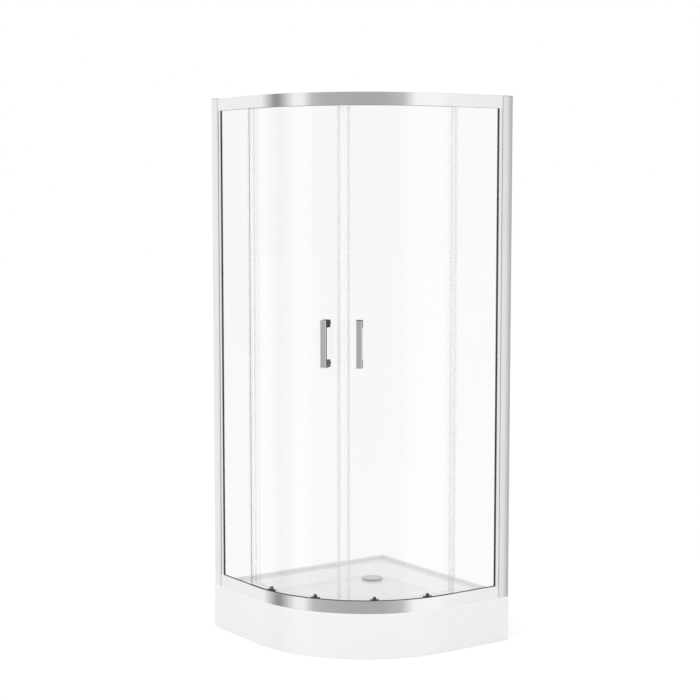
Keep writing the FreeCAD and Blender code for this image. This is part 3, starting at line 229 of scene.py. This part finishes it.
def slope_mask(t):
    """1 on sloping and rounded faces that look up, 0 on level and upright ones; it marks where
    painted light goes.
    """
    middle_rise, rise_reach = 0.5, 0.47
    normal = t.add("ShaderNodeNewGeometry").outputs["True Normal"]
    rise = t.add("ShaderNodeSeparateXYZ", {0: normal}).outputs["Z"]
    return t.math("COMPARE", rise, middle_rise, rise_reach)


def plain_finish(name, first, second, roughness, spread, skin=(60.0, 0.05, 0.001), haze_scale=8.0,
                 tone_scale=5.0, slope_tones=None, **constants):
    """A moulded, painted or cast finish: drifting tone, drifting gloss, faint skin; the slope tones
    are painted light.
    """
    def build(t, shader):
        tone = place_group(t, TONE, {"Scale": tone_scale, "First": first, "Second": second})
        color = tone["Color"]
        # Painted light: faces that look up get the whiter slope tones.
        if slope_tones:
            paler = place_group(t, TONE, {"Scale": tone_scale, "First": slope_tones[0],
                                          "Second": slope_tones[1]})
            color = t.mix(slope_mask(t), color, paler["Color"])
        haze = place_group(t, POLISH_HAZE, {"Scale": haze_scale, "Roughness": roughness,
                                            "Spread": spread})
        waves = place_group(t, SKIN, dict(zip(("Scale", "Strength", "Depth"), skin)))
        t.feed(color, shader.inputs["Base Color"])
        t.feed(haze["Roughness"], shader.inputs["Roughness"])
        t.feed(waves["Normal"], shader.inputs["Normal"])
    return finish_material(name, constants, build)


def drawn_finish(name, first, second, roughness, spread, across, strength=0.05, **constants):
    """A bright extrusion with its die lines."""
    def build(t, shader):
        tone = place_group(t, TONE, {"Scale": 3.0, "First": first, "Second": second})
        lines = place_group(t, DRAWN_LINES, {"Across": across, "Roughness": roughness,
                                             "Spread": spread, "Strength": strength})
        t.feed(tone["Color"], shader.inputs["Base Color"])
        t.feed(lines["Roughness"], shader.inputs["Roughness"])
        t.feed(lines["Normal"], shader.inputs["Normal"])
    return finish_material(name, constants, build)


# Glass: the tint of lamp light that passes, then the ground edges: their tint, how clear and
# how rough they are, and how little a face may look along the pane's normal to be an edge.
LAMP_TINT = (0.995, 0.997, 0.996, 1)
EDGE_TINT = (0.90, 0.92, 0.915, 1)
EDGE_CLEARNESS = 0.8
EDGE_ROUGHNESS = 0.8
EDGE_FACING = 0.7
PANE_IOR, SEAL_IOR, ACRYLIC_IOR = 1.5, 1.4, 1.49


def let_lamps_through(t, shader):
    """Shadow and diffuse rays pass straight through, so that the inside stays lit."""
    output = t.nodes["Material Output"]
    path = t.add("ShaderNodeLightPath")
    soft = t.math("MAXIMUM", path.outputs["Is Shadow Ray"], path.outputs["Is Diffuse Ray"])
    clear = t.add("ShaderNodeBsdfTransparent", {"Color": LAMP_TINT})
    mixed = t.add("ShaderNodeMixShader", {0: soft})
    t.links.new(shader.outputs[0], mixed.inputs[1])
    t.links.new(clear.outputs[0], mixed.inputs[2])
    t.links.new(mixed.outputs[0], output.inputs["Surface"])


def edge_mask(t, facing):
    """1 on the ground edges of a pane, 0 on its two faces; facing is where the faces look."""
    normal = t.add("ShaderNodeNewGeometry").outputs["True Normal"]
    if facing is None:
        place = t.add("ShaderNodeTexCoord").outputs["Object"]
        out = t.add("ShaderNodeVectorMath", {0: place, 1: CORNER_CENTRE}, operation="SUBTRACT")
        level = t.add("ShaderNodeVectorMath", {0: out.outputs[0], 1: (1.0, 1.0, 0.0)},
                      operation="MULTIPLY")
        unit = t.add("ShaderNodeVectorMath", {0: level.outputs[0]}, operation="NORMALIZE")
        facing = unit.outputs[0]
    dot = t.add("ShaderNodeVectorMath", {0: normal, 1: facing}, operation="DOT_PRODUCT")
    return t.math("LESS_THAN", t.math("ABSOLUTE", dot.outputs["Value"]), EDGE_FACING)


def glass_finish(name, facing, clearness):
    """Clear pane with satin ground edges; the pane's tone carries painted shade."""
    drift = 0.005

    def build(t, shader):
        tone = place_group(t, TONE, {"Scale": 1.5, "First": grey(clearness),
                                     "Second": grey(clearness - drift)})
        haze = place_group(t, POLISH_HAZE, {"Scale": 6.0, "Roughness": 0.0, "Spread": 0.01})
        edge = edge_mask(t, facing)
        t.feed(t.mix(edge, tone["Color"], EDGE_TINT), shader.inputs["Base Color"])
        rough = t.math("ADD", haze["Roughness"], t.math("MULTIPLY", edge, EDGE_ROUGHNESS),
                       clamp=True)
        t.feed(rough, shader.inputs["Roughness"])
        cover = t.math("SUBTRACT", 1.0, t.math("MULTIPLY", edge, EDGE_CLEARNESS))
        t.feed(cover, shader.inputs["Alpha"])
        let_lamps_through(t, shader)
    return finish_material(name, {"Transmission Weight": 1.0, "IOR": PANE_IOR}, build)


def seal_finish(name, nose_alpha, clip_alpha, side_alpha):
    """Clear soft seal; the clips at the meeting line are denser than nose and side seals.

    Nose, clips and side seals are told apart by their distance in metres from that line.
    """
    nose_end, clip_start, side_start = 0.0115, 0.0135, 0.1

    def build(t, shader):
        tone = place_group(t, TONE, {"Scale": 5.0, "First": grey(0.80), "Second": grey(0.74)})
        haze = place_group(t, POLISH_HAZE, {"Scale": 8.0, "Roughness": 0.3, "Spread": 0.1})
        waves = place_group(t, SKIN, {"Scale": 90.0, "Strength": 0.02, "Depth": 0.0005})
        place = t.add("ShaderNodeTexCoord").outputs["Object"]
        out = t.add("ShaderNodeVectorMath", {0: place, 1: CORNER_CENTRE}, operation="SUBTRACT")
        beside = t.add("ShaderNodeVectorMath", {0: out.outputs[0], 1: MEETING_TANGENT},
                       operation="DOT_PRODUCT")
        distance = t.math("ABSOLUTE", beside.outputs["Value"])
        clip = t.add("ShaderNodeMapRange", {"Value": distance, "From Min": nose_end,
                                            "From Max": clip_start, "To Min": nose_alpha,
                                            "To Max": clip_alpha})
        t.feed(tone["Color"], shader.inputs["Base Color"])
        t.feed(haze["Roughness"], shader.inputs["Roughness"])
        t.feed(waves["Normal"], shader.inputs["Normal"])
        away = t.math("GREATER_THAN", distance, side_start)
        step = t.math("MULTIPLY", away, side_alpha - clip_alpha)
        t.feed(t.math("ADD", clip.outputs["Result"], step), shader.inputs["Alpha"])
    return finish_material(name, {"IOR": SEAL_IOR}, build)


def make_finishes():
    """Every finish: two close tones, roughness and its spread, then skin and scales.

    A skin is its scale, its strength and its depth in metres.
    """
    finish = {}
    # Painted light: the basin's slopes and rounded edges that look up get a whiter tone than the
    # rest of the same acrylic.
    finish["tray"] = plain_finish("white_acrylic", grey(0.90), grey(0.885), 0.22, 0.08,
                                  skin=(35.0, 0.04, 0.001),
                                  slope_tones=(grey(0.972), grey(0.957)), IOR=ACRYLIC_IOR,
                                  **{"Coat Weight": 0.25, "Coat Roughness": 0.06})
    finish["rail"] = drawn_finish("polished_rail", grey(0.90), grey(0.87), 0.06, 0.03,
                                  LEVEL_LINES, strength=0.03, Metallic=1.0)
    finish["profile"] = drawn_finish("bright_profile", grey(0.88), grey(0.84), 0.16, 0.05,
                                     UPRIGHT_LINES, strength=0.04, Metallic=1.0)
    # Painted shade: the right wall profile is the same bright metal as the others, given darker
    # tones.
    finish["shaded profile"] = drawn_finish("shaded_profile", grey(0.76), grey(0.72), 0.16, 0.05,
                                            UPRIGHT_LINES, strength=0.04, Metallic=1.0)
    finish["chrome"] = plain_finish("polished_chrome", grey(0.88), grey(0.84), 0.07, 0.04,
                                    skin=(40.0, 0.03, 0.0006), Metallic=1.0)
    # The waste cover's chrome is toned darker than its flange's.
    finish["waste chrome"] = plain_finish("satin_waste_chrome", grey(0.62), grey(0.57), 0.22, 0.1,
                                          skin=(60.0, 0.05, 0.0006), Metallic=0.45)
    finish["waste flange"] = plain_finish("bright_waste_flange", grey(0.86), grey(0.82), 0.18,
                                          0.1, skin=(60.0, 0.05, 0.0006), Metallic=0.45)
    finish["zinc"] = plain_finish("zinc_plated_steel", grey(0.60, 0.02), grey(0.50, 0.02), 0.38,
                                  0.2, skin=(260.0, 0.12, 0.0004), haze_scale=40.0,
                                  tone_scale=60.0, Metallic=1.0)
    finish["frame"] = plain_finish("grey_powder_coat", grey(0.16), grey(0.135), 0.5, 0.12,
                                   skin=(420.0, 0.35, 0.0005), haze_scale=20.0)
    # Painted shade: the three panes are one glass; the fixed panes get lower tones than the doors,
    # standing in for the shade seen through them.
    finish["right pane"] = glass_finish("clear_glass_right_pane", (1.0, 0.0, 0.0), 0.957)
    finish["left pane"] = glass_finish("clear_glass_left_pane", (0.0, 1.0, 0.0), 0.940)
    finish["door pane"] = glass_finish("clear_glass_curved_door", None, 0.972)
    finish["seal"] = seal_finish("clear_soft_seal", 0.07, 0.16, 0.09)
    finish["rubber"] = plain_finish("dark_rubber", grey(0.045), grey(0.06), 0.62, 0.2,
                                    skin=(300.0, 0.25, 0.0006), haze_scale=25.0)
    finish["foot"] = plain_finish("black_foot_rubber", grey(0.02), grey(0.03), 0.75, 0.2,
                                  skin=(240.0, 0.3, 0.0006), haze_scale=25.0)
    finish["housing"] = plain_finish("grey_moulded_plastic", grey(0.085), grey(0.11), 0.4, 0.15,
                                     skin=(380.0, 0.25, 0.0004), haze_scale=30.0)
    finish["cap"] = plain_finish("grey_cap_plastic", grey(0.26), grey(0.22), 0.45, 0.15,
                                 skin=(320.0, 0.2, 0.0004), haze_scale=25.0)
    finish["wheel"] = plain_finish("white_wheel_plastic", grey(0.80, 0.01), grey(0.74, 0.015),
                                   0.35, 0.12, skin=(300.0, 0.1, 0.0003), haze_scale=30.0)
    finish["washer"] = plain_finish("dark_washer_plastic", grey(0.10), grey(0.075), 0.4, 0.12,
                                    skin=(300.0, 0.1, 0.0003), haze_scale=30.0)
    finish["waste"] = plain_finish("pale_grey_waste_plastic", grey(0.62), grey(0.56), 0.42, 0.14,
                                   skin=(200.0, 0.15, 0.0005), haze_scale=20.0)
    return finish


def paint(finish):
    """Give every CAD node its finish; a stem that ends in _ stands for both sides."""
    plan = {
        "tray": ["tray_shell"],
        "rail": ["top_rail", "bottom_rail"],
        # painted shade on the right wall profile
        "shaded profile": ["wall_profile_right"],
        "profile": ["wall_profile_", "side_profile_"],
        "chrome": ["handle_", "handle_bolts_", "upper_axles_"],
        "waste chrome": ["waste_cover"],
        "waste flange": ["waste_flange"],
        "zinc": ["foot_studs_and_nuts", "rail_screws", "housing_screws_", "release_spring_"],
        "frame": ["tray_support_frame"],
        "right pane": ["fixed_glass_right"],
        "left pane": ["fixed_glass_left"],
        "door pane": ["door_glass_"],
        "seal": ["fixed_edge_seal_", "magnet_seal_", "trailing_seal_"],
        # The glass gaskets are black rubber; along the arc their filler in the glazing channel is
        # also painted shade, standing in for the open channel's shadow.
        "rubber": ["glass_gaskets", "door_stops", "waste_gasket"],
        "foot": ["foot_pads"],
        "housing": ["lower_housings_", "release_plunger_", "rail_end_blocks"],
        "cap": ["wall_profile_caps"],
        "wheel": ["upper_wheel_", "lower_wheel_"],
        "washer": ["handle_washers_", "upper_bushes_"],
        "waste": ["waste_body", "waste_trap_insert"],
    }
    left = set(NODES)
    for key, stems in plan.items():
        for stem in sorted(stems, key=len, reverse=True):
            for name in sorted(left):
                matches = name == stem or (stem.endswith("_") and name.startswith(stem)
                                           and name[len(stem):].split("_")[0] in SIDES)
                if matches:
                    for slot in NODES[name].material_slots:
                        slot.material = finish[key]
                    left.discard(name)
    if left:
        raise RuntimeError("no finish for " + ", ".join(sorted(left)))


# --- wound and ribbed forms, made with geometry nodes ---

def form_tree(name, inputs, build):
    """Geometry tree: points and named sizes in, one finished mesh out."""
    tree = bpy.data.node_groups.new(name, "GeometryNodeTree")
    tree.interface.new_socket("Places", in_out="INPUT", socket_type="NodeSocketGeometry")
    for label, kind in inputs + [("Finish", "NodeSocketMaterial")]:
        tree.interface.new_socket(label, in_out="INPUT", socket_type=kind)
    tree.interface.new_socket("Form", in_out="OUTPUT", socket_type="NodeSocketGeometry")
    t = Tree(tree)
    given = t.add("NodeGroupInput").outputs
    shape = build(t, given)
    places = t.add("GeometryNodeMeshToPoints", {"Mesh": given["Places"]})
    copies = t.add("GeometryNodeInstanceOnPoints", {"Points": places.outputs[0],
                                                    "Instance": shape})
    real = t.add("GeometryNodeRealizeInstances", {"Geometry": copies.outputs[0]})
    done = t.add("GeometryNodeSetMaterial", {"Geometry": real.outputs[0],
                                             "Material": given["Finish"]})
    sink = t.add("NodeGroupOutput")
    t.feed(done.outputs[0], sink.inputs["Form"])
    return tree


def build_coil(t, given):
    """Wire wound at an even pitch, upwards from each place."""
    line = t.add("GeometryNodeCurveSpiral", {"Resolution": given["Steps"],
                                             "Rotations": given["Turns"],
                                             "Start Radius": given["Radius"],
                                             "End Radius": given["Radius"],
                                             "Height": given["Height"]})
    wire = t.add("GeometryNodeCurvePrimitiveCircle", {"Resolution": given["Sides"],
                                                      "Radius": given["Wire"]})
    tube = t.add("GeometryNodeCurveToMesh", {"Curve": line.outputs[0],
                                             "Profile Curve": wire.outputs[0],
                                             "Fill Caps": True})
    return tube.outputs[0]


def build_ribs(t, given):
    """Ring of upright round ribs about each place."""
    ring = t.add("GeometryNodeMeshCircle", {"Vertices": given["Count"],
                                            "Radius": given["Radius"]})
    spots = t.add("GeometryNodeMeshToPoints", {"Mesh": ring.outputs[0]})
    rib = t.add("GeometryNodeMeshCylinder", {"Vertices": given["Sides"], "Radius": given["Rib"],
                                             "Depth": given["Height"]})
    ribs = t.add("GeometryNodeInstanceOnPoints", {"Points": spots.outputs[0],
                                                  "Instance": rib.outputs[0]})
    return ribs.outputs[0]


INT = "NodeSocketInt"
COIL = form_tree("coil", [("Radius", FLOAT), ("Wire", FLOAT), ("Turns", FLOAT),
                          ("Height", FLOAT), ("Steps", INT), ("Sides", INT)], build_coil)
RIBS = form_tree("knob_ribs", [("Count", INT), ("Radius", FLOAT), ("Rib", FLOAT),
                               ("Height", FLOAT), ("Sides", INT)], build_ribs)
WELD_DISTANCE = 1e-6


def make_form(name, tree, places, sizes, finish, body):
    """Run a geometry tree over its places and keep the result as a plain mesh on a body."""
    seed = bpy.data.meshes.new(name + "_places")
    seed.from_pydata([tuple(place) for place in places], [], [])
    piece = bpy.data.objects.new(name, seed)
    scene.collection.objects.link(piece)
    modifier = piece.modifiers.new("form", "NODES")
    modifier.node_group = tree
    values = dict(sizes, Finish=finish)
    for socket in tree.interface.items_tree:
        if socket.item_type == "SOCKET" and socket.in_out == "INPUT" and socket.name in values:
            modifier[socket.identifier] = values[socket.name]
    evaluated = piece.evaluated_get(bpy.context.evaluated_depsgraph_get())
    made = bpy.data.meshes.new_from_object(evaluated)
    piece.modifiers.remove(modifier)
    made.name = name
    piece.data = made
    shell = bmesh.new()
    shell.from_mesh(made)
    bmesh.ops.remove_doubles(shell, verts=shell.verts, dist=WELD_DISTANCE)
    bmesh.ops.recalc_face_normals(shell, faces=shell.faces)
    shell.to_mesh(made)
    shell.free()
    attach(piece, body)
    return piece


def box_of(node):
    """Low corner, high corner and middle of a CAD node."""
    low, high = (Vector(corner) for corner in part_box(node))
    return low, high, (low + high) / 2


def return_springs(finish):
    """Coil springs round the release stems, in place of the plain sleeves.

    Each rides on its door; nothing presses it as the release is pulled.
    """
    wire, turns, release_travel = 0.00045, 7.0, 0.006
    for side in SIDES:
        for place in PLACES:
            node = f"release_spring_{side}_{place}"
            low, high, middle = box_of(node)
            foot = Vector((middle.x, middle.y, low.z + wire))
            sizes = {"Radius": (high.x - low.x) / 2 - wire, "Wire": wire, "Turns": turns,
                     "Height": high.z - low.z - 2 * wire, "Steps": 24, "Sides": 8}
            spring = make_form(f"coil_spring_{side}_{place}", COIL, [foot], sizes, finish,
                               f"door_{side}")
            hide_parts(node)
            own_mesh(spring)


def knob_ribs(finish):
    """Grip ribs round the four release knobs."""
    knob_r, knob_h, margin = 0.006, 0.009, 0.0013
    rib_r, sunk = 0.00045, 0.0001
    for side in SIDES:
        for place in PLACES:
            _, high, middle = box_of(f"release_plunger_{side}_{place}")
            at = Vector((middle.x, middle.y, high.z - knob_h / 2))
            sizes = {"Count": 20, "Radius": knob_r - sunk, "Rib": rib_r,
                     "Height": knob_h - 2 * margin, "Sides": 8}
            make_form(f"knob_ribs_{side}_{place}", RIBS, [at], sizes, finish,
                      f"release_plunger_{side}_{place}")


def stud_threads(finish):
    """Thread ridges on the five feet, from the pad's boss to the lock nut."""
    feet = [(-0.3055, 0.3305), (0.330, 0.3305), (-0.3305, -0.330), (0.210, -0.080),
            (0.080, -0.210)]
    low, high, pitch = 0.0168, 0.0942, 0.00175
    stud_r, ridge_r = 0.00595, 0.0006
    sizes = {"Radius": stud_r, "Wire": ridge_r, "Turns": (high - low) / pitch,
             "Height": high - low, "Steps": 20, "Sides": 3}
    make_form("stud_threads", COIL, [(x, y, low) for x, y in feet], sizes, finish, "root")


# --- studio ---

# The plain soft light, and the dark screen low down in gloss: tone, middle and half width in
# degrees of turn, and the rise of a ray at which it starts to fade and is gone.
PLAIN_LIGHT = 0.905
SCREEN_TONE = 0.05
SCREEN_TURN, SCREEN_REACH = 126.0, 34.0
SCREEN_FULL_BELOW, SCREEN_GONE_ABOVE = 0.10, 0.15

# Grey of the walls that gloss sees, against degrees of turn.
WALL_BANDS = [(-180, 0.96), (-137, 0.96), (-120, 0.32), (-115, 0.34), (-99, 0.97), (-91, 0.97),
              (-82, 0.56), (-72, 0.49), (-40, 0.45), (-20, 0.46), (-4, 0.56), (7, 1.0),
              (30, 1.04), (40, 0.95), (58, 0.50), (80, 0.45), (112, 0.85), (130, 1.0),
              (165, 1.0), (180, 0.96)]

FLOOR_REACH, FLOOR_DROP = 30.0, 0.0005
FLOOR_TONE, FLOOR_GLOW, GLOW_SHARE = 0.93, 1.07, 0.62

KEY_AT, KEY_AIM = (3.2, -3.6, 2.7), Vector((0, 0, 0.7))
KEY_SIZE, KEY_WATTS = 4.0, 47.4


def seen_and_mirrored(t):
    """What the camera sees straight or through glass, and what comes by way of a gloss."""
    path = t.add("ShaderNodeLightPath")
    mirrored = t.math("GREATER_THAN", path.outputs["Glossy Depth"], 0.5)
    straight = t.math("MAXIMUM", path.outputs["Is Camera Ray"], path.outputs["Is Transmission Ray"])
    return t.math("SUBTRACT", straight, mirrored, clamp=True), mirrored


def studio_world():
    """White for the camera and through glass; plain soft light; banded walls in gloss.

    Low down behind the object the gloss sees a dark screen, which draws the handles' posts.
    """
    world = bpy.data.worlds.new("soft_studio")
    scene.world = world
    world.use_nodes = True
    t = Tree(world.node_tree)
    t.nodes.clear()
    seen, mirrored = seen_and_mirrored(t)
    direction = t.add("ShaderNodeTexCoord").outputs["Generated"]
    split = t.add("ShaderNodeSeparateXYZ", {0: direction})
    turn = t.math("ARCTAN2", split.outputs["Y"], split.outputs["X"])
    part = t.math("ADD", t.math("DIVIDE", turn, 2 * math.pi), 0.5)
    ramp = t.add("ShaderNodeValToRGB", {"Fac": part})
    stops = ramp.color_ramp.elements
    stops[0].position, stops[0].color = 0.0, grey(WALL_BANDS[0][1])
    stops[1].position, stops[1].color = 1.0, grey(WALL_BANDS[-1][1])
    for degrees, level in WALL_BANDS[1:-1]:
        stop = stops.new((degrees + 180) / 360)
        stop.color = grey(level)
    plain = t.add("ShaderNodeBackground", {"Color": grey(1.0), "Strength": PLAIN_LIGHT})
    white = t.add("ShaderNodeBackground", {"Color": grey(1.0), "Strength": 1.0})
    behind = t.math("COMPARE", turn, math.radians(SCREEN_TURN), math.radians(SCREEN_REACH))
    low = t.add("ShaderNodeMapRange", {"Value": t.math("ABSOLUTE", split.outputs["Z"]),
                                       "From Min": SCREEN_FULL_BELOW,
                                       "From Max": SCREEN_GONE_ABOVE,
                                       "To Min": 1.0, "To Max": 0.0})
    screen = t.math("MULTIPLY", behind, low.outputs["Result"])
    walls = t.mix(screen, ramp.outputs["Color"], grey(SCREEN_TONE))
    banded = t.add("ShaderNodeBackground", {"Color": walls, "Strength": 1.0})
    gloss_mix = t.add("ShaderNodeMixShader", {0: mirrored})
    t.links.new(plain.outputs[0], gloss_mix.inputs[1])
    t.links.new(banded.outputs[0], gloss_mix.inputs[2])
    seen_mix = t.add("ShaderNodeMixShader", {0: seen})
    t.links.new(gloss_mix.outputs[0], seen_mix.inputs[1])
    t.links.new(white.outputs[0], seen_mix.inputs[2])
    output = t.add("ShaderNodeOutputWorld")
    t.links.new(seen_mix.outputs[0], output.inputs["Surface"])


def studio_floor():
    """Pale floor that stays white to the camera and keeps the soft contact shadow."""
    mesh = bpy.data.meshes.new("studio_floor")
    corners = [(-1, -1), (1, -1), (1, 1), (-1, 1)]
    mesh.from_pydata([(x * FLOOR_REACH, y * FLOOR_REACH, -FLOOR_DROP) for x, y in corners],
                     [], [(0, 1, 2, 3)])
    floor = bpy.data.objects.new("studio_floor", mesh)
    scene.collection.objects.link(floor)
    material = bpy.data.materials.new("pale_floor")
    material.use_nodes = True
    t = Tree(material.node_tree)
    shader = t.nodes["Principled BSDF"]
    shader.inputs["Roughness"].default_value = 0.9
    shader.inputs["Specular IOR Level"].default_value = 0.0
    seen, mirrored = seen_and_mirrored(t)
    t.feed(t.mix(seen, grey(FLOOR_TONE), grey(1.0)), shader.inputs["Base Color"])
    glow = t.add("ShaderNodeEmission", {"Color": grey(1.0), "Strength": FLOOR_GLOW})
    lift = t.add("ShaderNodeMixShader", {0: t.math("MULTIPLY", seen, GLOW_SHARE)})
    t.links.new(shader.outputs[0], lift.inputs[1])
    t.links.new(glow.outputs[0], lift.inputs[2])
    gone = t.add("ShaderNodeBsdfTransparent")
    absent = t.add("ShaderNodeMixShader", {0: mirrored})
    t.links.new(lift.outputs[0], absent.inputs[1])
    t.links.new(gone.outputs[0], absent.inputs[2])
    t.links.new(absent.outputs[0], t.nodes["Material Output"].inputs["Surface"])
    mesh.materials.append(material)
    floor.visible_glossy = False


def studio_lamps():
    """One broad soft key in front of the round side, about a metre above the camera."""
    data = bpy.data.lights.new("soft_key", "AREA")
    data.shape = "RECTANGLE"
    data.size = data.size_y = KEY_SIZE
    data.energy = KEY_WATTS
    key = bpy.data.objects.new("soft_key", data)
    key.location = KEY_AT
    key.rotation_mode = "QUATERNION"
    key.rotation_quaternion = (KEY_AIM - key.location).to_track_quat("-Z", "Y")
    key.visible_camera = False
    key.visible_glossy = False
    key.visible_transmission = False
    scene.collection.objects.link(key)


place_camera()
studio_world()
studio_floor()
studio_lamps()
FINISH = make_finishes()
paint(FINISH)
return_springs(FINISH["zinc"])
knob_ribs(FINISH["housing"])
stud_threads(FINISH["zinc"])
